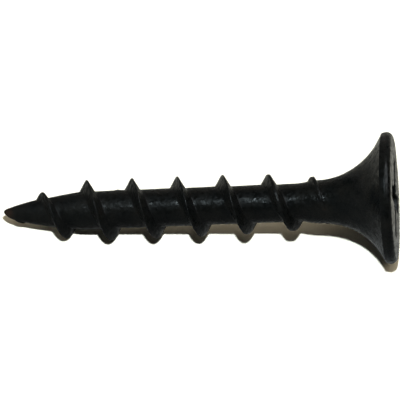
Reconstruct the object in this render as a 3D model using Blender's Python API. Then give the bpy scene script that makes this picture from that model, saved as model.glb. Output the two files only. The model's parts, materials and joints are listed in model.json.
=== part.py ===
"""Coarse-thread drywall screw, one piece of black phosphated steel, lying on a floor as it comes to rest.

Metres, +Z up, floor at z = 0. The screw is built along its own axis first: the flat of the head lies in the
plane z = 0, the head's outer side looks along +Z and the tip is at z = -LENGTH. It is then laid down along X,
head at +X, leaning on the rim of the head and on the first full turns of the thread.
"""

import math

import bmesh
import bpy
from mathutils import Matrix, Vector

MM = 0.001

# Overall length, from the flat of the head to the tip
LENGTH = 25.05 * MM

# Bugle head: a flat disc with a rounded rim over a concave flare that runs into the shank
HEAD_DIAMETER = 8.42 * MM
RIM_HEIGHT = 0.7 * MM
RIM_CORNER_REACH = 0.36 * MM
RIM_CORNER_DROP = 0.46 * MM
RIM_EDGE_RADIUS = 0.12 * MM
FLARE_RADIUS = 4.45 * MM
SHANK_DIAMETER = 2.77 * MM

# Cross recess: four tapered wings around a core, over a shallow conical floor
RECESS_SPAN = 5.0 * MM
RECESS_WING_WIDTH = 1.08 * MM
RECESS_CORE_REACH = 0.98 * MM
RECESS_WING_DEPTH = 2.2 * MM
RECESS_END_TAPER = math.radians(26.5)
RECESS_SIDE_DRAFT = math.radians(4.0)
RECESS_FLOOR_SLOPE = math.radians(28.0)
RECESS_TURN = math.radians(29.0)

# Thread: a single right-hand start. Where it is lower than in full its crest is wider, on the point's side,
# and where it sinks before its run-out on the head's side too.
THREAD_PITCH = 2.9 * MM
ROOT_DIAMETER = 2.43 * MM
CREST_DIAMETER = 3.9 * MM
CREST_DIAMETER_AT_RUNOUT = 3.54 * MM
CREST_SINK_LENGTH = 5.8 * MM
CREST_WIDTH = 0.07 * MM
CREST_BLUNTING = 0.14
SUNK_CREST_BLUNTING = 0.8
FLANK_ANGLE_TO_POINT = math.radians(28.0)
FLANK_ANGLE_TO_HEAD = math.radians(27.5)
FLANK_FILLET = 0.08 * MM
THREAD_PHASE = 1.43 * MM

# Ends of the thread: it rises out of the point, and runs out on the first of the flare
POINT_LENGTH = 5.05 * MM
THREAD_START = 0.7 * MM
THREAD_RISE = 4.65 * MM
THREAD_RUNOUT = 2.0 * MM
RUNOUT_ONTO_FLARE = 0.6 * MM
RUNOUT_DRAWBACK = 0.14 * MM
SHANK_RISE = 1.4 * MM
TIP_OFFSET = 0.2 * MM
TIP_OFFSET_TURN = math.radians(130.0)

# Facets
SEGMENTS = 48
CORNER_STEPS = 5
EDGE_STEPS = 3
FLARE_STEPS = 14
NOSE_STEPS = 4
FLOOR_HALF_STEP = 0.5
LOWEST_ROW_SPREAD = 0.06 * MM
FILLET_SHARE = 0.12
MERGE_DISTANCE = 0.001 * MM

HEAD_RADIUS = HEAD_DIAMETER / 2
SHANK_RADIUS = SHANK_DIAMETER / 2
ROOT_RADIUS = ROOT_DIAMETER / 2


def clear_scene():
    for obj in list(bpy.data.objects):
        bpy.data.objects.remove(obj)


def blend(start, end, share):
    return start + (end - start) * share


def clamp(value):
    return max(0.0, min(1.0, value))


def smooth(share):
    share = clamp(share)
    return share * share * (3 - 2 * share)


# The flare is an arc that leaves the shank along the axis. Stations are measured up from the tip.
FLARE_DROP = min(HEAD_RADIUS - SHANK_RADIUS, FLARE_RADIUS)
FLARE_STEEPEST = math.acos(1 - FLARE_DROP / FLARE_RADIUS)
FLARE_START = LENGTH - RIM_HEIGHT - FLARE_RADIUS * math.sin(FLARE_STEEPEST)
THREAD_END = FLARE_START + RUNOUT_ONTO_FLARE


def flare_profile():
    """(reach from the axis, height) down the flare, from the rim's lower edge to the end of the thread."""
    last = math.asin(RUNOUT_ONTO_FLARE / FLARE_RADIUS)
    points = []
    for step in range(FLARE_STEPS + 1):
        angle = blend(FLARE_STEEPEST, last, step / FLARE_STEPS)
        reach = SHANK_RADIUS + FLARE_RADIUS * (1 - math.cos(angle))
        points.append((reach, FLARE_START - LENGTH + FLARE_RADIUS * math.sin(angle)))
    return points


def arc(centre, radii, first, last, steps):
    """Points of an arc in the (reach, height) plane, both ends included."""
    points = []
    for step in range(steps + 1):
        angle = blend(first, last, step / steps)
        points.append((centre[0] + radii[0] * math.cos(angle), centre[1] + radii[1] * math.sin(angle)))
    return points


def eased_corner(before, corner, after, radius, steps):
    """A corner of the profile rounded by an arc that touches the lines to its two neighbours."""
    corner = Vector(corner)
    towards_before = (Vector(before) - corner).normalized()
    towards_after = (Vector(after) - corner).normalized()
    half = towards_before.angle(towards_after) / 2
    centre = corner + (towards_before + towards_after).normalized() * radius / math.sin(half)
    first = corner + towards_before * radius / math.tan(half) - centre
    last = corner + towards_after * radius / math.tan(half) - centre
    first_angle = math.atan2(first.y, first.x)
    last_angle = math.atan2(last.y, last.x)
    return arc(centre, (radius, radius), first_angle, last_angle, steps)


def head_profile():
    """(reach, height) from the edge of the flat, round the rim and down the flare to the shank."""
    flare = flare_profile()
    corner_centre = (HEAD_RADIUS - RIM_CORNER_REACH, -RIM_CORNER_DROP)
    corner = arc(corner_centre, (RIM_CORNER_REACH, RIM_CORNER_DROP), math.pi / 2, 0.0, CORNER_STEPS)
    edge = eased_corner(corner[-1], flare[0], flare[1], RIM_EDGE_RADIUS, EDGE_STEPS)
    below_edge = [point for point in flare[1:] if point[1] < edge[-1][1]]
    return corner + edge + below_edge


def root_radius(station):
    """Radius between the turns of the thread. The point is a parabola, blunt only at its very tip."""
    point = ROOT_RADIUS * math.sqrt(clamp(station / POINT_LENGTH))
    shank_rise = smooth((station - FLARE_START + SHANK_RISE) / SHANK_RISE)
    up_flare = max(0.0, station - FLARE_START)
    flare_rise = FLARE_RADIUS - math.sqrt(max(0.0, FLARE_RADIUS**2 - up_flare**2))
    return point + (SHANK_RADIUS - ROOT_RADIUS) * shank_rise + flare_rise


def runout_share(station):
    """1 along the thread, falling to 0 over its run-out."""
    return clamp((THREAD_END - station) / THREAD_RUNOUT)


def crest_sunk(station):
    """How far the crest has sunk, ahead of its run-out."""
    share = clamp(1 - (THREAD_END - THREAD_RUNOUT - station) / CREST_SINK_LENGTH)
    return (CREST_DIAMETER - CREST_DIAMETER_AT_RUNOUT) / 2 * share**2


def thread_height(station):
    """Height of the crest over the root's diameter: it rises out of the point, sinks a little, then runs out."""
    rise = math.sin(clamp((station - THREAD_START) / THREAD_RISE) * math.pi / 2)
    full = (CREST_DIAMETER - ROOT_DIAMETER) / 2 - crest_sunk(station)
    return full * rise * runout_share(station)


def flank(height, crest_edge, angle):
    """(distance along the axis from the helix, height) down one side of the thread to the root."""
    spread = max(height * math.tan(angle), LOWEST_ROW_SPREAD)
    low = crest_edge + spread * (1 - FILLET_SHARE)
    foot = crest_edge + spread + min(FLANK_FILLET, spread)
    half_pitch = THREAD_PITCH / 2
    side = [(crest_edge, height), (low, height * FILLET_SHARE), (foot, 0.0)]
    return side + [((foot + half_pitch) / 2, 0.0), (half_pitch, 0.0)]


def thread_section(station):
    """(distance along the axis from the helix, height over the root) across one pitch of the thread."""
    height = thread_height(station)
    lost = (CREST_DIAMETER - ROOT_DIAMETER) / 2 - height
    drawback = RUNOUT_DRAWBACK * (1 - runout_share(station))
    to_point = flank(height, CREST_WIDTH / 2 + CREST_BLUNTING * lost + drawback, FLANK_ANGLE_TO_POINT)
    sunk_width = SUNK_CREST_BLUNTING * crest_sunk(station) * runout_share(station)
    to_head = flank(height, CREST_WIDTH / 2 + sunk_width - drawback, FLANK_ANGLE_TO_HEAD)
    return [(-offset, rise) for offset, rise in reversed(to_point)] + to_head


def polar(angle, radius, height):
    return Vector((radius * math.cos(angle), radius * math.sin(angle), height))


def column_angle(column):
    """A facet, not an edge, faces the floor at angle 0."""
    return math.tau * (column + FLOOR_HALF_STEP) / SEGMENTS


def threaded_skin(bm):
    """Skin of root, flanks and crest wound along the helix, each turn's last row being the next turn's first.

    Rows that pass either end are drawn back to it, so that the skin ends in a plain ring there.
    """
    def column_at(station):
        return (station - THREAD_PHASE) / THREAD_PITCH * SEGMENTS

    first = math.floor(column_at(THREAD_START - THREAD_PITCH / 2)) - 1
    last = math.ceil(column_at(THREAD_END + THREAD_PITCH / 2)) + 1
    columns = []
    for column in range(first, last + 1):
        angle = column_angle(column)
        crest = THREAD_PHASE + THREAD_PITCH * (column + FLOOR_HALF_STEP) / SEGMENTS
        rows = []
        for offset, rise in thread_section(crest):
            station = crest + offset
            inside = THREAD_START < station < THREAD_END
            station = max(THREAD_START, min(THREAD_END, station))
            radius = root_radius(station) + (rise if inside else 0.0)
            rows.append(bm.verts.new(polar(angle, radius, station - LENGTH)))
        columns.append(rows)
    for this, after in zip(columns, columns[1:]):
        for row in range(len(this) - 1):
            bm.faces.new((this[row], after[row], after[row + 1], this[row + 1]))


def turned_skin(bm, profile):
    """Rings of a turned profile joined by quads. The profile runs down the outside of the shape."""
    rings = []
    for reach, height in profile:
        rings.append([bm.verts.new(polar(column_angle(k), reach, height)) for k in range(SEGMENTS)])
    for upper, lower in zip(rings, rings[1:]):
        for k in range(SEGMENTS):
            after = (k + 1) % SEGMENTS
            bm.faces.new((upper[k], lower[k], lower[after], upper[after]))
    return rings


def pinch_tip(nose, tip):
    """Draws the tip a little to one side of the axis, the more so the nearer to its end."""
    for station_ring in nose[1:] + [[tip]]:
        for vertex in station_ring:
            share = 1 - (vertex.co.z + LENGTH) / THREAD_START
            vertex.co += polar(TIP_OFFSET_TURN, TIP_OFFSET * share**2, 0.0)


def screw_body():
    """The whole screw but for its recess."""
    bm = bmesh.new()
    head = turned_skin(bm, head_profile())
    bm.faces.new(head[0])
    threaded_skin(bm)
    stations = [THREAD_START * (1 - step / NOSE_STEPS) ** 2 for step in range(NOSE_STEPS)]
    nose = turned_skin(bm, [(root_radius(station), station - LENGTH) for station in stations])
    tip = bm.verts.new((0.0, 0.0, -LENGTH))
    for k in range(SEGMENTS):
        bm.faces.new((nose[-1][k], tip, nose[-1][(k + 1) % SEGMENTS]))
    pinch_tip(nose, tip)
    bmesh.ops.remove_doubles(bm, verts=bm.verts, dist=MERGE_DISTANCE)
    bmesh.ops.recalc_face_normals(bm, faces=bm.faces)
    return bm


def recess_outline(depth):
    """Corners of the cross at a depth below the flat, anticlockwise from the first wing."""
    draft = depth * math.tan(RECESS_SIDE_DRAFT)
    reach = RECESS_SPAN / 2 - depth * math.tan(RECESS_END_TAPER)
    half_width = RECESS_WING_WIDTH / 2 - draft
    core = RECESS_CORE_REACH - 2 * draft
    wing = [(reach, -half_width), (reach, half_width), (core, half_width), (half_width, core)]
    outline = []
    for quarter in range(4):
        turn = Matrix.Rotation(quarter * math.pi / 2 + RECESS_TURN, 2)
        outline += [turn @ Vector(corner) for corner in wing]
    return outline


def recess_cutter():
    """Lofted cross, carried above the flat so that it cuts cleanly, closed by the conical floor."""
    bm = bmesh.new()
    loops = []
    for depth in (-RECESS_WING_WIDTH, RECESS_WING_DEPTH):
        loops.append([bm.verts.new((x, y, -depth)) for x, y in recess_outline(depth)])
    corners = len(loops[0])
    for k in range(corners):
        after = (k + 1) % corners
        bm.faces.new((loops[0][k], loops[1][k], loops[1][after], loops[0][after]))
    bm.faces.new(loops[0])
    floor_reach = recess_outline(RECESS_WING_DEPTH)[0].length
    bottom = RECESS_WING_DEPTH + floor_reach * math.tan(RECESS_FLOOR_SLOPE)
    apex = bm.verts.new((0.0, 0.0, -bottom))
    for k in range(corners):
        bm.faces.new((loops[1][k], apex, loops[1][(k + 1) % corners]))
    bmesh.ops.recalc_face_normals(bm, faces=bm.faces)
    return bm


def new_object(name, bm, material=None):
    mesh = bpy.data.meshes.new(name)
    bm.to_mesh(mesh)
    bm.free()
    obj = bpy.data.objects.new(name, mesh)
    bpy.context.scene.collection.objects.link(obj)
    if material:
        mesh.materials.append(material)
    return obj


def black_phosphate():
    material = bpy.data.materials.new("black_phosphate")
    material.use_nodes = True
    shader = material.node_tree.nodes["Principled BSDF"]
    shader.inputs["Base Color"].default_value = (0.012, 0.012, 0.013, 1.0)
    shader.inputs["Metallic"].default_value = 0.4
    shader.inputs["Roughness"].default_value = 0.42
    return material


def resting_place(points):
    """The matrix that lays the screw on the floor, with its box centred over the origin.

    The lean is the smallest that any point allows once the rim's lowest edge is on the floor.
    """
    rim = max(points, key=lambda p: (round(p.x / MERGE_DISTANCE), -p.z))
    below = [p for p in points if p.z < rim.z - RIM_HEIGHT]
    lean = min(math.atan2(rim.x - p.x, rim.z - p.z) for p in below)
    lie_down = Matrix.Rotation(math.pi / 2 - lean, 4, "Y")
    placed = [lie_down @ p for p in points]
    low = Vector(min(p[i] for p in placed) for i in range(3))
    high = Vector(max(p[i] for p in placed) for i in range(3))
    centre = (low + high) / 2
    return Matrix.Translation((-centre.x, -centre.y, -low.z)) @ lie_down


def main():
    clear_scene()
    screw = new_object("drywall_screw", screw_body(), black_phosphate())
    cutter = new_object("recess_cutter", recess_cutter())
    cutter.hide_render = True
    cutter.display_type = "WIRE"
    place = resting_place([vertex.co.copy() for vertex in screw.data.vertices])
    screw.matrix_world = place
    cutter.matrix_world = place
    recess = screw.modifiers.new("recess", "BOOLEAN")
    recess.operation = "DIFFERENCE"
    recess.object = cutter
    screw.data.shade_smooth()
    screw.data.set_sharp_from_angle(angle=math.radians(35))


main()
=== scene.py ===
"""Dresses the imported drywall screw: one finely modelled, black phosphated screw on a pale floor.

The screw is built along its own axis, head up, with the flat of its head in the plane z = 0. It is then laid
down where the CAD screw lies. Metres throughout.
"""

import json
import math

import bmesh
import bpy
from mathutils import Matrix, Vector, noise

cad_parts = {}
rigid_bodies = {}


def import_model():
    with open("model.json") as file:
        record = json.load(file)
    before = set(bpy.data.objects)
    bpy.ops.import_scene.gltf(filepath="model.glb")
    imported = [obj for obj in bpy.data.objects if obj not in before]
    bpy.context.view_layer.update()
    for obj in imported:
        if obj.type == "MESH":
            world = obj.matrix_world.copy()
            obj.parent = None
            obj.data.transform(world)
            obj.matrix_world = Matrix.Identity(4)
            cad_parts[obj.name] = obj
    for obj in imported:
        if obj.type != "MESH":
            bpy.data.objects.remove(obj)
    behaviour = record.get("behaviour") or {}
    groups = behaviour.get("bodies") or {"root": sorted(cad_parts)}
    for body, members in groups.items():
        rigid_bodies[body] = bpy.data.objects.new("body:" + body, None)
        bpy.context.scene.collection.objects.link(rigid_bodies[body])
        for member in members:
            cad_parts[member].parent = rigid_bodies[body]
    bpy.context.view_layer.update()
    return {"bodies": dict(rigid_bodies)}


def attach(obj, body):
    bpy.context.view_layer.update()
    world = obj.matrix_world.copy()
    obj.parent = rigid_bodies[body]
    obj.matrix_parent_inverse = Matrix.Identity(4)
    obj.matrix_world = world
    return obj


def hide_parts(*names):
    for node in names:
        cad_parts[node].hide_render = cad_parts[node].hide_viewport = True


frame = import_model()
BODY = sorted(frame["bodies"])[0]

MM = 0.001

# Where the CAD screw lies: the middle of the flat of its head, and its axis' lean out of the floor
HEAD_CENTRE = Vector((0.01221898, 0.0, 0.00424495))
LEAN = math.radians(6.766953)

# The screw's own sizes, as in the part's source
LENGTH = 25.05 * MM
HEAD_RADIUS = 4.21 * MM
RIM_HEIGHT = 0.7 * MM
RIM_CORNER_REACH = 0.36 * MM
RIM_CORNER_DROP = 0.46 * MM
RIM_EDGE_RADIUS = 0.12 * MM
FLARE_RADIUS = 4.45 * MM
SHANK_RADIUS = 1.385 * MM
RECESS_SPAN = 5.0 * MM
RECESS_WING_WIDTH = 1.08 * MM
RECESS_CORE_REACH = 0.98 * MM
RECESS_WING_DEPTH = 2.2 * MM
RECESS_END_TAPER = math.radians(26.5)
RECESS_SIDE_DRAFT = math.radians(4.0)
RECESS_FLOOR_SLOPE = math.radians(28.0)
RECESS_TURN = math.radians(29.0)
PITCH = 2.9 * MM
ROOT_RADIUS = 1.215 * MM
CREST_RADIUS = 1.95 * MM
CREST_RADIUS_AT_RUNOUT = 1.77 * MM
CREST_SINK_LENGTH = 5.8 * MM
CREST_WIDTH = 0.07 * MM
CREST_BLUNTING = 0.14
SUNK_CREST_BLUNTING = 0.8
FLANK_TO_POINT = math.radians(28.0)
FLANK_TO_HEAD = math.radians(27.5)
PHASE = 1.43 * MM
POINT_LENGTH = 5.05 * MM
THREAD_START = 0.7 * MM
THREAD_RISE = 4.65 * MM
THREAD_RUNOUT = 2.0 * MM
RUNOUT_ONTO_FLARE = 0.6 * MM
RUNOUT_DRAWBACK = 0.14 * MM
SHANK_RISE = 1.4 * MM

# The tip stands off the axis by half of what it does in the part's source
TIP_OFFSET = 0.1 * MM
TIP_OFFSET_TURN = math.radians(130.0)

# Eased crests and feet of the thread. An easing grows with the thread's height, from the least to its limit.
CREST_EASE = 0.05 * MM
CREST_EASE_SHARE = 0.3
LEAST_CREST_EASE = 0.001 * MM
FOOT_EASE = 0.14 * MM
FOOT_EASE_SHARE = 0.7
LEAST_FOOT_EASE = 0.002 * MM
LOWEST_SPREAD = 0.03 * MM
LOWEST_HEIGHT = 0.01 * MM

# The root rises a little towards the next turn, in full where the thread is this high
ROOT_RAMP = 0.04 * MM
ROOT_RAMP_HEIGHT = 0.4 * MM

# The recess' eased lip, and the rounding of its corners: the two at a wing's end, then the two at the core
RECESS_LIP = 0.07 * MM
RECESS_CORNERS = (0.16 * MM, 0.16 * MM, 0.12 * MM, 0.12 * MM)

# The rim is widest near the flat of the head and slants in a little towards the flare
LAND_SLANT = 0.06 * MM
LAND_SLANT_FROM = 0.34 * MM
LAND_SLANT_FADE = 0.3 * MM

# The head sits a little off the shank's axis, as cold forging leaves it
HEAD_OFFSET = 0.07 * MM
HEAD_OFFSET_TURN = math.radians(131.0)
HEAD_OFFSET_LENGTH = 3.2 * MM

# Unevenness left by forging, rolling and handling: how far it pushes the skin, and how wide its lumps are
SKIN_LUMPS = (0.004 * MM, 0.9 * MM)
FINE_LUMPS = (0.0015 * MM, 0.35 * MM)
CREST_LUMPS = (0.014 * MM, 0.5 * MM)
RIM_LUMPS = (0.012 * MM, 1.9 * MM)
FINE_LUMPS_FADE = 1.2 * MM
CREST_LUMPS_HEIGHT = 0.5 * MM
RIM_LUMPS_FROM = 3.4 * MM
RIM_LUMPS_RISE = 0.6 * MM
CALM_TIP_LENGTH = 0.8 * MM

# What the unevenness leaves alone: the axis, the flat of the head, and the recess inside the head's wall
AXIS_REACH = 0.02 * MM
FLAT_DEPTH = 0.001 * MM
RECESS_ZONE_DEPTH = 3.6 * MM
HEAD_WALL = 0.2 * MM

# Two small marks, a raised nick on the root and a burr on the first full crest: how far each stands out, then
# its station, its turn, its width along the axis and its reach round it in radians
NICK_PUSH = 0.06 * MM
NICK = (7.3 * MM, math.radians(131), 0.1 * MM, 0.1)
BURR_PUSH = 0.13 * MM
BURR = (4.2 * MM, math.radians(-50), 0.09 * MM, 0.09)

# Fineness
SEGMENTS = 160
FLARE_STEPS = 44
CORNER_STEPS = 12
EDGE_STEPS = 6
NOSE_STEPS = 14
RECESS_CORNER_STEPS = 5
RECESS_LIP_STEPS = 6
RECESS_WALL_STEPS = 14
RECESS_FLOOR_SHARES = (0.85, 0.65, 0.4, 0.18)
MERGE = 0.0004 * MM
SHARP_ANGLE = math.radians(42)

# Rows of the thread's skin on either side of its crest: down the flank, round the foot and over the open root
FLANK_ROWS = (-0.09, -0.03, 0.03, 0.09, 0.2, 0.38, 0.56, 0.72)
FOOT_ROWS = (-0.66, -0.33, 0.0, 0.33, 0.66, 1.0)
OPEN_ROWS = (0.2, 0.45, 0.72, 1.0)
LEAST_ROW_STEP = 0.004 * MM

FLARE_DROP = HEAD_RADIUS - SHANK_RADIUS
FLARE_STEEPEST = math.acos(1 - FLARE_DROP / FLARE_RADIUS)
FLARE_START = LENGTH - RIM_HEIGHT - FLARE_RADIUS * math.sin(FLARE_STEEPEST)
THREAD_END = FLARE_START + RUNOUT_ONTO_FLARE


def blend(start, end, share):
    return start + (end - start) * share


def clamp(value):
    return max(0.0, min(1.0, value))


def smooth(share):
    share = clamp(share)
    return share * share * (3 - 2 * share)


def eased_max(a, b, ease):
    """The larger of two heights, with the crossing rounded over ease."""
    apart = a - b
    if abs(apart) >= ease:
        return max(a, b)
    return (a + b) / 2 + apart * apart / (4 * ease) + ease / 4


def polar(angle, radius, height):
    return Vector((radius * math.cos(angle), radius * math.sin(angle), height))


def column_angle(column):
    return math.tau * (column + 0.5) / SEGMENTS


# Turned profiles
def arc(centre, radii, first, last, steps):
    points = []
    for step in range(steps + 1):
        angle = blend(first, last, step / steps)
        points.append((centre[0] + radii[0] * math.cos(angle), centre[1] + radii[1] * math.sin(angle)))
    return points


def flare_profile():
    last = math.asin(RUNOUT_ONTO_FLARE / FLARE_RADIUS)
    points = []
    for step in range(FLARE_STEPS + 1):
        angle = blend(FLARE_STEEPEST, last, step / FLARE_STEPS)
        reach = SHANK_RADIUS + FLARE_RADIUS * (1 - math.cos(angle))
        points.append((reach, FLARE_START - LENGTH + FLARE_RADIUS * math.sin(angle)))
    return points


def eased_corner(before, corner, after, radius, steps):
    corner = Vector(corner)
    towards_before = (Vector(before) - corner).normalized()
    towards_after = (Vector(after) - corner).normalized()
    half = towards_before.angle(towards_after) / 2
    centre = corner + (towards_before + towards_after).normalized() * radius / math.sin(half)
    first = corner + towards_before * radius / math.tan(half) - centre
    last = corner + towards_after * radius / math.tan(half) - centre
    return arc(centre, (radius, radius), math.atan2(first.y, first.x), math.atan2(last.y, last.x), steps)


def head_profile():
    flare = flare_profile()
    centre = (HEAD_RADIUS - RIM_CORNER_REACH, -RIM_CORNER_DROP)
    corner = arc(centre, (RIM_CORNER_REACH, RIM_CORNER_DROP), math.pi / 2, 0.0, CORNER_STEPS)
    edge = eased_corner(corner[-1], flare[0], flare[1], RIM_EDGE_RADIUS, EDGE_STEPS)
    profile = corner + edge + [point for point in flare[1:] if point[1] < edge[-1][1]]
    return [(reach - LAND_SLANT * land_share(-height), height) for reach, height in profile]


def land_share(drop):
    """1 at the rim's lower edge, falling to 0 at its widest ring above and on the flare below."""
    above = smooth((drop - LAND_SLANT_FROM) / (RIM_HEIGHT - LAND_SLANT_FROM))
    below = 1 - smooth((drop - RIM_HEIGHT) / LAND_SLANT_FADE)
    return min(above, below)


# Thread
def root_radius(station):
    point = ROOT_RADIUS * math.sqrt(clamp(station / POINT_LENGTH))
    shank_rise = smooth((station - FLARE_START + SHANK_RISE) / SHANK_RISE)
    up_flare = max(0.0, station - FLARE_START)
    flare_rise = FLARE_RADIUS - math.sqrt(max(0.0, FLARE_RADIUS**2 - up_flare**2))
    return point + (SHANK_RADIUS - ROOT_RADIUS) * shank_rise + flare_rise


def runout_share(station):
    return clamp((THREAD_END - station) / THREAD_RUNOUT)


def crest_sunk(station):
    share = clamp(1 - (THREAD_END - THREAD_RUNOUT - station) / CREST_SINK_LENGTH)
    return (CREST_RADIUS - CREST_RADIUS_AT_RUNOUT) * share**2


def thread_height(station):
    rise = math.sin(clamp((station - THREAD_START) / THREAD_RISE) * math.pi / 2)
    return (CREST_RADIUS - ROOT_RADIUS - crest_sunk(station)) * rise * runout_share(station)


def side_rows(height, crest_edge, angle, ramp_at):
    """(distance from the helix along the axis, height) from beside the crest to half a pitch away."""
    spread = max(height * math.tan(angle), LOWEST_SPREAD)
    foot_ease = min(FOOT_EASE, FOOT_EASE_SHARE * height + LEAST_FOOT_EASE)
    crest_ease = min(CREST_EASE, CREST_EASE_SHARE * height + LEAST_CREST_EASE)
    reach = spread * foot_ease / max(height, LOWEST_HEIGHT)
    foot = crest_edge + spread
    offsets = [crest_edge + spread * share for share in FLANK_ROWS]
    above_foot = offsets[-1]
    for step, share in enumerate(FOOT_ROWS, 1):
        offsets.append(max(above_foot + LEAST_ROW_STEP * step, foot + reach * share))
    past_foot = offsets[-1]
    offsets += [blend(past_foot, PITCH / 2, share) for share in OPEN_ROWS]
    rows = []
    for offset in offsets:
        line = height * (1 - (offset - crest_edge) / spread)
        top = -eased_max(-height, -line, crest_ease)
        rows.append((offset, eased_max(top, ramp_at(offset), foot_ease)))
    return rows


def thread_section(station):
    height = thread_height(station)
    lost = CREST_RADIUS - ROOT_RADIUS - height
    drawback = RUNOUT_DRAWBACK * (1 - runout_share(station))
    ramp = ROOT_RAMP * smooth(height / ROOT_RAMP_HEIGHT)
    to_point = side_rows(height, CREST_WIDTH / 2 + CREST_BLUNTING * lost + drawback, FLANK_TO_POINT,
                         lambda offset: ramp * (0.5 - offset / PITCH))
    sunk_width = SUNK_CREST_BLUNTING * crest_sunk(station) * runout_share(station)
    to_head = side_rows(height, CREST_WIDTH / 2 + sunk_width - drawback, FLANK_TO_HEAD,
                        lambda offset: ramp * (offset / PITCH - 0.5))
    return [(-offset, rise) for offset, rise in reversed(to_point)] + to_head


def threaded_skin(bm):
    def column_at(station):
        return (station - PHASE) / PITCH * SEGMENTS

    first = math.floor(column_at(THREAD_START - PITCH / 2)) - 1
    last = math.ceil(column_at(THREAD_END + PITCH / 2)) + 1
    columns = []
    for column in range(first, last + 1):
        angle = column_angle(column)
        crest = PHASE + PITCH * (column + 0.5) / SEGMENTS
        rows = []
        for offset, rise in thread_section(crest):
            station = crest + offset
            inside = THREAD_START < station < THREAD_END
            station = max(THREAD_START, min(THREAD_END, station))
            radius = root_radius(station) + (rise if inside else 0.0)
            rows.append(bm.verts.new(polar(angle, radius, station - LENGTH)))
        columns.append(rows)
    for this, after in zip(columns, columns[1:]):
        for row in range(len(this) - 1):
            bm.faces.new((this[row], after[row], after[row + 1], this[row + 1]))


def turned_skin(bm, profile):
    rings = []
    for reach, height in profile:
        rings.append([bm.verts.new(polar(column_angle(k), reach, height)) for k in range(SEGMENTS)])
    for upper, lower in zip(rings, rings[1:]):
        for k in range(SEGMENTS):
            after = (k + 1) % SEGMENTS
            bm.faces.new((upper[k], lower[k], lower[after], upper[after]))
    return rings


# Recess
def rounded_loop(corners, radii):
    """The corners of a closed outline, each replaced by an arc."""
    points = []
    count = len(corners)
    for k, corner in enumerate(corners):
        back = (corners[k - 1] - corner).normalized()
        ahead = (corners[(k + 1) % count] - corner).normalized()
        half = back.angle(ahead) / 2
        radius = radii[k % len(radii)]
        start = corner + back * radius / math.tan(half)
        end = corner + ahead * radius / math.tan(half)
        for step in range(RECESS_CORNER_STEPS + 1):
            share = step / RECESS_CORNER_STEPS
            points.append(blend(blend(start, corner, share), blend(corner, end, share), share))
    return points


def recess_loop(depth, outward):
    """The cross at a depth below the flat, grown outward by the lip's easing."""
    draft = depth * math.tan(RECESS_SIDE_DRAFT)
    reach = RECESS_SPAN / 2 - depth * math.tan(RECESS_END_TAPER) + outward
    half_width = RECESS_WING_WIDTH / 2 - draft + outward
    core = RECESS_CORE_REACH - 2 * draft + (math.sqrt(2) - 1) * outward
    wing = [(reach, -half_width), (reach, half_width), (core, half_width), (half_width, core)]
    corners = []
    for quarter in range(4):
        turn = Matrix.Rotation(quarter * math.pi / 2 + RECESS_TURN, 2)
        corners += [turn @ Vector(corner) for corner in wing]
    return rounded_loop(corners, RECESS_CORNERS)


def recess_levels():
    """(depth, outward growth of the cross) down the eased lip and then down the walls."""
    levels = []
    for step in range(RECESS_LIP_STEPS + 1):
        angle = step / RECESS_LIP_STEPS * math.pi / 2
        levels.append((RECESS_LIP * (1 - math.cos(angle)), RECESS_LIP * (1 - math.sin(angle))))
    for step in range(1, RECESS_WALL_STEPS + 1):
        levels.append((blend(RECESS_LIP, RECESS_WING_DEPTH, step / RECESS_WALL_STEPS), 0.0))
    return levels


def recess_skin(bm, face_ring):
    """Flat of the head, the recess' eased lip, its walls and its conical floor."""
    rings = []
    for depth, outward in recess_levels():
        rings.append([bm.verts.new((x, y, -depth)) for x, y in recess_loop(depth, outward)])
    floor_reach = recess_loop(RECESS_WING_DEPTH, 0.0)[0].length
    bottom = RECESS_WING_DEPTH + floor_reach * math.tan(RECESS_FLOOR_SLOPE)
    outline = [vertex.co.copy() for vertex in rings[-1]]
    for share in RECESS_FLOOR_SHARES:
        height = blend(-bottom, -RECESS_WING_DEPTH, share)
        rings.append([bm.verts.new((co.x * share, co.y * share, height)) for co in outline])
    count = len(outline)
    for upper, lower in zip(rings, rings[1:]):
        for k in range(count):
            after = (k + 1) % count
            bm.faces.new((upper[k], upper[after], lower[after], lower[k]))
    apex = bm.verts.new((0.0, 0.0, -bottom))
    for k in range(count):
        bm.faces.new((rings[-1][k], rings[-1][(k + 1) % count], apex))
    edges = []
    for ring in (face_ring, rings[0]):
        for k in range(len(ring)):
            pair = (ring[k], ring[(k + 1) % len(ring)])
            edges.append(bm.edges.get(pair) or bm.edges.new(pair))
    bmesh.ops.triangle_fill(bm, use_beauty=True, use_dissolve=False, edges=edges, normal=(0, 0, 1))


# Small marks
def dent(station, angle, at_station, at_angle, width, reach_round):
    """1 at a mark's middle, falling off over width along the axis and reach_round around it."""
    turned = math.remainder(angle - at_angle, math.tau)
    return math.exp(-((station - at_station) / width) ** 2 - (turned / reach_round) ** 2)


def lumps(co, kind, share=1.0):
    push, size = kind
    return push * share * noise.noise(co / size)


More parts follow.
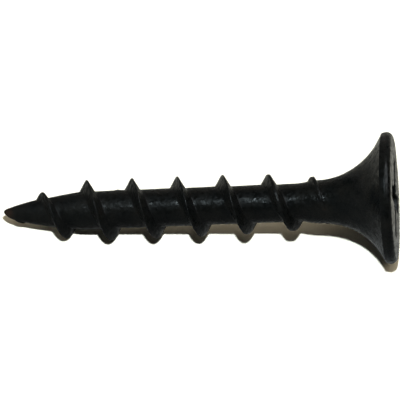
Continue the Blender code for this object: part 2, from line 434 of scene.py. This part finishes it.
def roughened(co):
    """A point of the skin, moved by the unevenness of forging, rolling and handling."""
    station = co.z + LENGTH
    radius = math.hypot(co.x, co.y)
    if radius < AXIS_REACH:
        return co
    if co.z > -FLAT_DEPTH:
        return co
    near_recess = radius < RECESS_SPAN / 2 and station > LENGTH - RECESS_ZONE_DEPTH
    if near_recess and radius < flare_radius_at(station) - HEAD_WALL:
        return co
    angle = math.atan2(co.y, co.x)
    root = root_radius(min(station, THREAD_END))
    crest_share = clamp((radius - root) / CREST_LUMPS_HEIGHT) if station < THREAD_END else 0.0
    fine_share = 1 - smooth((station - FLARE_START) / FINE_LUMPS_FADE)
    rim_share = clamp((radius - RIM_LUMPS_FROM) / RIM_LUMPS_RISE)
    push = lumps(co, SKIN_LUMPS) + lumps(co, FINE_LUMPS, fine_share)
    push += lumps(co, CREST_LUMPS, crest_share)
    push += NICK_PUSH * dent(station, angle, *NICK)
    push += BURR_PUSH * crest_share * dent(station, angle, *BURR)
    push += lumps(co, RIM_LUMPS, rim_share)
    push *= clamp(station / CALM_TIP_LENGTH)
    return co + Vector((math.cos(angle), math.sin(angle), 0.0)) * push


def flare_radius_at(station):
    up_flare = clamp((station - FLARE_START) / FLARE_RADIUS) * FLARE_RADIUS
    return SHANK_RADIUS + FLARE_RADIUS - math.sqrt(max(0.0, FLARE_RADIUS**2 - up_flare**2))


def screw_mesh():
    bm = bmesh.new()
    head = turned_skin(bm, head_profile())
    threaded_skin(bm)
    stations = [THREAD_START * (1 - step / NOSE_STEPS) ** 2 for step in range(NOSE_STEPS)]
    nose = turned_skin(bm, [(root_radius(station), station - LENGTH) for station in stations])
    tip = bm.verts.new((0.0, 0.0, -LENGTH))
    for k in range(SEGMENTS):
        bm.faces.new((nose[-1][k], tip, nose[-1][(k + 1) % SEGMENTS]))
    for ring in nose[1:] + [[tip]]:
        for vertex in ring:
            share = 1 - (vertex.co.z + LENGTH) / THREAD_START
            vertex.co += polar(TIP_OFFSET_TURN, TIP_OFFSET * share**2, 0.0)
    recess_skin(bm, head[0])
    bmesh.ops.remove_doubles(bm, verts=bm.verts, dist=MERGE)
    bmesh.ops.recalc_face_normals(bm, faces=bm.faces)
    for vertex in bm.verts:
        vertex.co = roughened(vertex.co)
    for vertex in bm.verts:
        share = smooth((vertex.co.z + LENGTH - FLARE_START) / HEAD_OFFSET_LENGTH)
        vertex.co += polar(HEAD_OFFSET_TURN, HEAD_OFFSET * share, 0.0)
    return bm


def lay_down():
    """The matrix that takes the screw from its own axis to where the CAD screw lies."""
    out = Vector((math.cos(LEAN), 0.0, math.sin(LEAN)))
    down = Vector((math.sin(LEAN), 0.0, -math.cos(LEAN)))
    side = out.cross(down)
    turn = Matrix((down, side, out)).transposed()
    return Matrix.Translation(HEAD_CENTRE) @ turn.to_4x4()


# Materials
PHOSPHATE_TONES = [
    (0.35, (0.0015, 0.0018, 0.0018)),
    (0.68, (0.0030, 0.0031, 0.0028)),
    (1.0, (0.0078, 0.0050, 0.0036)),
]
PHOSPHATE_GLOSS = 0.045
PHOSPHATE_IOR = 1.5

# Sizes and detail of the patches of tone and gloss, and the middle part of a noise that is made use of
TONE_PATCHES = (0.9 * MM, 3)
GLOSS_PATCHES = (0.3 * MM, 1)
NOISE_SPAN = (0.35, 0.65)
GLOSS_ROUGHNESS = (0.48, 0.17)

# Changes along the screw, from one place to another: brown at the tip, duller towards it, calmer on the head
TIP_BROWN = (-12.75 * MM, -11.3 * MM, 0.6, 0.0)
POINT_DULLING = (-9.0 * MM, 1.0 * MM, 0.20, 0.0)
HEAD_CALM = (7.4 * MM, 9.6 * MM, 1.0, 0.05)

# Sizes and detail of the grain and of the small lumps, and how deep each is
GRAIN = (0.09 * MM, 2)
GRAIN_DEPTH = 0.007 * MM
SMALL_LUMPS = (0.24 * MM, 2)
SMALL_LUMPS_DEPTH = 0.036 * MM

FLOOR_COLOUR = (0.90, 0.88, 0.78)
FLOOR_ROUGHNESS = 0.9

# The floor's glow rises from none to full between these distances from the screw
GLOW_COLOUR = (0.86, 0.93, 1.0)
GLOW_DISTANCES = (60.0 * MM, 380.0 * MM)

# The mirrored floor's tones, from in front of the screw to behind it, and between which places they change
MIRRORED_TONES = [(0.0, (0.25, 0.265, 0.28)), (1.0, (0.40, 0.39, 0.35))]
MIRRORED_PLACES = (-4.0 * MM, 2.0 * MM)


def new_material(name):
    material = bpy.data.materials.new(name)
    material.use_nodes = True
    return material


def shader_of(material):
    return material.node_tree.nodes["Principled BSDF"]


def add(tree, kind, **values):
    node = tree.nodes.new(kind)
    for key, value in values.items():
        setattr(node, key, value)
    return node


def object_coords(tree):
    return add(tree, "ShaderNodeTexCoord").outputs["Object"]


def along_axis(tree, vector, axis):
    split = add(tree, "ShaderNodeSeparateXYZ")
    tree.links.new(vector, split.inputs["Vector"])
    return split.outputs[axis]


def ranged(tree, source, start, end, low=0.0, high=1.0):
    """The source, brought from start and end to low and high."""
    node = add(tree, "ShaderNodeMapRange")
    tree.links.new(source, node.inputs["Value"])
    node.inputs["From Min"].default_value = start
    node.inputs["From Max"].default_value = end
    node.inputs["To Min"].default_value = low
    node.inputs["To Max"].default_value = high
    return node.outputs["Result"]


def toned(tree, source, stops):
    """The colour that the source picks between the stops."""
    node = add(tree, "ShaderNodeValToRGB")
    tree.links.new(source, node.inputs["Fac"])
    elements = node.color_ramp.elements
    while len(elements) < len(stops):
        elements.new(0.5)
    for element, (position, colour) in zip(elements, stops):
        element.position = position
        element.color = (*colour, 1.0)
    return node.outputs["Color"]


def summed(tree, first, second):
    node = add(tree, "ShaderNodeMath", operation="ADD")
    tree.links.new(first, node.inputs[0])
    tree.links.new(second, node.inputs[1])
    return node.outputs["Value"]


def bump(tree, height, depth, strength):
    node = add(tree, "ShaderNodeBump")
    tree.links.new(strength, node.inputs["Strength"])
    node.inputs["Distance"].default_value = depth
    tree.links.new(height, node.inputs["Height"])
    return node


def black_phosphate():
    """Nearly black, browner in random patches and towards the tip, of uneven gloss, over a fine grain and
    small lumps.
    """
    material = new_material("black_phosphate")
    tree = material.node_tree
    link = tree.links.new
    coords = object_coords(tree)
    place = along_axis(tree, coords, "X")

    def noise_at(size, detail):
        node = add(tree, "ShaderNodeTexNoise")
        node.inputs["Scale"].default_value = 1 / size
        node.inputs["Detail"].default_value = detail
        link(coords, node.inputs["Vector"])
        return node.outputs["Fac"]

    gloss = ranged(tree, noise_at(*GLOSS_PATCHES), *NOISE_SPAN, *GLOSS_ROUGHNESS)
    roughness = summed(tree, gloss, ranged(tree, place, *POINT_DULLING))
    # The tone is browner in random patches and towards the tip
    brownness = summed(tree, noise_at(*TONE_PATCHES), ranged(tree, place, *TIP_BROWN))
    calm = ranged(tree, place, *HEAD_CALM)
    grain = bump(tree, noise_at(*GRAIN), GRAIN_DEPTH, calm)
    lumpy = bump(tree, noise_at(*SMALL_LUMPS), SMALL_LUMPS_DEPTH, calm)
    link(grain.outputs["Normal"], lumpy.inputs["Normal"])
    shader = shader_of(material)
    link(toned(tree, brownness, PHOSPHATE_TONES), shader.inputs["Base Color"])
    link(roughness, shader.inputs["Roughness"])
    link(lumpy.outputs["Normal"], shader.inputs["Normal"])
    shader.inputs["Metallic"].default_value = 0.0
    shader.inputs["IOR"].default_value = PHOSPHATE_IOR
    shader.inputs["Specular IOR Level"].default_value = PHOSPHATE_GLOSS
    return material


def floor_material(name, colour):
    material = new_material(name)
    shader = shader_of(material)
    shader.inputs["Base Color"].default_value = (*colour, 1.0)
    shader.inputs["Roughness"].default_value = FLOOR_ROUGHNESS
    shader.inputs["Specular IOR Level"].default_value = 0.0
    return material


def pale_floor():
    """White, with a glow that keeps it pale far from the screw, where the near key lamp falls off."""
    material = floor_material("pale_floor", FLOOR_COLOUR)
    tree = material.node_tree
    distance = add(tree, "ShaderNodeVectorMath", operation="LENGTH")
    tree.links.new(object_coords(tree), distance.inputs[0])
    strength = ranged(tree, distance.outputs["Value"], *GLOW_DISTANCES)
    shader = shader_of(material)
    shader.inputs["Emission Color"].default_value = (*GLOW_COLOUR, 1.0)
    tree.links.new(strength, shader.inputs["Emission Strength"])
    return material


def dim_floor():
    """Cool and dim in front of the screw, warmer and paler behind it."""
    material = floor_material("dim_floor", MIRRORED_TONES[0][1])
    tree = material.node_tree
    place = along_axis(tree, object_coords(tree), "Y")
    tone = toned(tree, ranged(tree, place, *MIRRORED_PLACES), MIRRORED_TONES)
    tree.links.new(tone, shader_of(material).inputs["Base Color"])
    return material


# Objects
FLOOR_REACH = 3.0
MIRRORED_FLOOR_HEIGHT = 0.01 * MM


def new_object(name, bm, material):
    mesh = bpy.data.meshes.new(name)
    bm.to_mesh(mesh)
    bm.free()
    mesh.materials.append(material)
    obj = bpy.data.objects.new(name, mesh)
    bpy.context.scene.collection.objects.link(obj)
    return obj


def make_screw():
    bm = screw_mesh()
    bm.transform(lay_down())
    screw = new_object("screw", bm, black_phosphate())
    screw.data.shade_smooth()
    screw.data.set_sharp_from_angle(angle=SHARP_ANGLE)
    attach(screw, BODY)
    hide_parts("drywall_screw")
    return screw


def make_plane(name, height, material):
    bm = bmesh.new()
    lift = Matrix.Translation((0.0, 0.0, height))
    bmesh.ops.create_grid(bm, x_segments=1, y_segments=1, size=FLOOR_REACH, matrix=lift)
    plane = new_object(name, bm, material)
    return plane


def make_floor():
    """A white floor, and a dimmer one just over it that only the screw's gloss sees."""
    floor = make_plane("floor", 0.0, pale_floor())
    floor.visible_glossy = False
    mirrored = make_plane("mirrored_floor", MIRRORED_FLOOR_HEIGHT, dim_floor())
    mirrored.visible_camera = False
    mirrored.visible_diffuse = False
    mirrored.visible_shadow = False
    mirrored.visible_transmission = False


# The surroundings, by height: nothing below, a pale band at the horizon and a dark room above
SURROUNDINGS = [
    (-0.10, (0.0, 0.0, 0.0)),
    (-0.05, (1.0, 1.0, 1.0)),
    (0.06, (1.0, 1.0, 1.0)),
    (0.11, (0.020, 0.018, 0.014)),
]


def make_world():
    world = bpy.data.worlds.new("studio")
    bpy.context.scene.world = world
    world.use_nodes = True
    tree = world.node_tree
    direction = add(tree, "ShaderNodeTexCoord").outputs["Generated"]
    share = ranged(tree, along_axis(tree, direction, "Z"), -1.0, 1.0)
    stops = [((height + 1) / 2, colour) for height, colour in SURROUNDINGS]
    tree.links.new(toned(tree, share, stops), tree.nodes["Background"].inputs["Color"])


# The near key lamp, which casts the shadow
KEY_PLACE = (0.003, -0.0997, 0.2)
KEY_POWER = 3.15
KEY_RADIUS = 4.9 * MM
KEY_COLOUR = (0.93, 0.98, 1.0)

# The far lights: name, direction towards it, strength, width in degrees, colour, and which rays don't see it
FAR_LIGHTS = [
    ("glint", (-0.11, -0.30, 0.945), 3.1, 3.0, (0.80, 0.95, 1.0), "visible_diffuse"),
    ("rim_glint", (0.50, 0.05, 0.86), 6.0, 44.0, (0.90, 0.96, 1.0), "visible_diffuse"),
    ("fill", (0.58, 0.17, 0.79), 1.0, 48.0, (1.0, 0.86, 0.66), "visible_glossy"),
    ("low_fill", (-0.97, 0.1, 0.17), 0.6, 10.0, (1.0, 0.90, 0.70), "visible_glossy"),
    ("back", (0.0, 0.90, 0.42), 0.35, 45.0, (1.0, 0.92, 0.82), "visible_diffuse"),
    ("side", (-0.80, -0.50, 0.33), 0.2, 50.0, (0.90, 0.96, 1.0), "visible_diffuse"),
    ("flank", (-0.95, -0.275, 0.21), 3.2, 20.0, (0.95, 0.98, 1.0), "visible_glossy"),
]


def new_light(name, kind, power, colour):
    light = bpy.data.lights.new(name, kind)
    light.energy = power
    light.color = colour
    obj = bpy.data.objects.new(name, light)
    bpy.context.scene.collection.objects.link(obj)
    return obj


def make_key():
    key = new_light("key", "POINT", KEY_POWER, KEY_COLOUR)
    key.data.shadow_soft_size = KEY_RADIUS
    key.location = KEY_PLACE
    key.visible_glossy = False


def make_far_light(name, towards, power, width, colour, unseen_by):
    obj = new_light(name, "SUN", power, colour)
    obj.data.angle = math.radians(width)
    obj.rotation_mode = "QUATERNION"
    obj.rotation_quaternion = Vector(towards).to_track_quat("Z", "Y")
    setattr(obj, unseen_by, False)
    return obj


def make_lights(screw):
    """All the lights. The flank light shines on the screw alone, so it leaves the shadow as it is."""
    make_key()
    far = {row[0]: make_far_light(*row) for row in FAR_LIGHTS}
    lit_by_flank = bpy.data.collections.new("lit_by_flank")
    lit_by_flank.objects.link(screw)
    far["flank"].light_linking.receiver_collection = lit_by_flank


# Camera
PIVOT = Vector((0.0, 0.0, 3.0 * MM))
PIVOT_PIXEL = (202.62, 203.97)
VIEW_ELEVATION = math.radians(49.0)
VIEW_AZIMUTH = math.radians(-0.31)
VIEW_ROLL = math.radians(2.04)
VIEW_DISTANCE = 500 * MM
METRES_PER_PIXEL = 0.0637 * MM
FRAME_PIXELS = 400
SENSOR = 36.0
NEAREST = 0.01
FARTHEST = 10.0


def make_camera():
    forward = Vector((math.sin(VIEW_AZIMUTH) * math.cos(VIEW_ELEVATION),
                      math.cos(VIEW_AZIMUTH) * math.cos(VIEW_ELEVATION), -math.sin(VIEW_ELEVATION)))
    flat_right = Vector((math.cos(VIEW_AZIMUTH), -math.sin(VIEW_AZIMUTH), 0.0))
    flat_up = flat_right.cross(forward)
    right = flat_right * math.cos(VIEW_ROLL) + flat_up * math.sin(VIEW_ROLL)
    up = -flat_right * math.sin(VIEW_ROLL) + flat_up * math.cos(VIEW_ROLL)
    place = PIVOT - forward * VIEW_DISTANCE
    place -= right * (PIVOT_PIXEL[0] - FRAME_PIXELS / 2) * METRES_PER_PIXEL
    place += up * (PIVOT_PIXEL[1] - FRAME_PIXELS / 2) * METRES_PER_PIXEL
    data = bpy.data.cameras.new("camera")
    data.sensor_width = SENSOR
    data.lens = VIEW_DISTANCE / METRES_PER_PIXEL / FRAME_PIXELS * SENSOR
    data.clip_start = NEAREST
    data.clip_end = FARTHEST
    camera = bpy.data.objects.new("camera", data)
    bpy.context.scene.collection.objects.link(camera)
    turn = Matrix((right, up, -forward)).transposed()
    camera.matrix_world = Matrix.Translation(place) @ turn.to_4x4()
    bpy.context.scene.camera = camera


screw = make_screw()
make_floor()
make_world()
make_lights(screw)
make_camera()
bpy.context.scene.view_settings.view_transform = "Standard"
